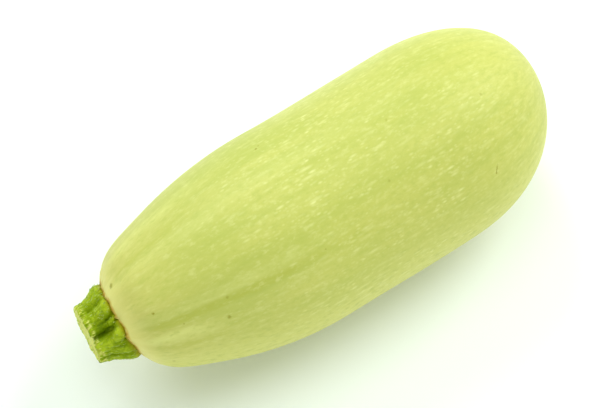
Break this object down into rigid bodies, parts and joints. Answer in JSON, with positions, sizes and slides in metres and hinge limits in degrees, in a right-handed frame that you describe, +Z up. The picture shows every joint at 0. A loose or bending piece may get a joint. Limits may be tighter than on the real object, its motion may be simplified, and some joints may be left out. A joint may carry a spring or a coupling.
{
  "type": "courgette",
  "caption": "Pale courgette lying on its side, plump and softly ribbed towards the stem, with a short cut green stem that is ridged and flared at its base.",
  "frame": {"origin": "on the surface that the courgette lies on, under the middle of its bounding box", "axes": "+X along the fruit from the stem to the blossom end, +Z up"},
  "size_m": [0.213, 0.0852, 0.0844],
  "materials": {
    "skin": "satin",
    "stem_green": "satin"
  },
  "bodies": {
    "root": {"fruit": "skin", "stem": "stem_green"}
  },
  "joints": []
}
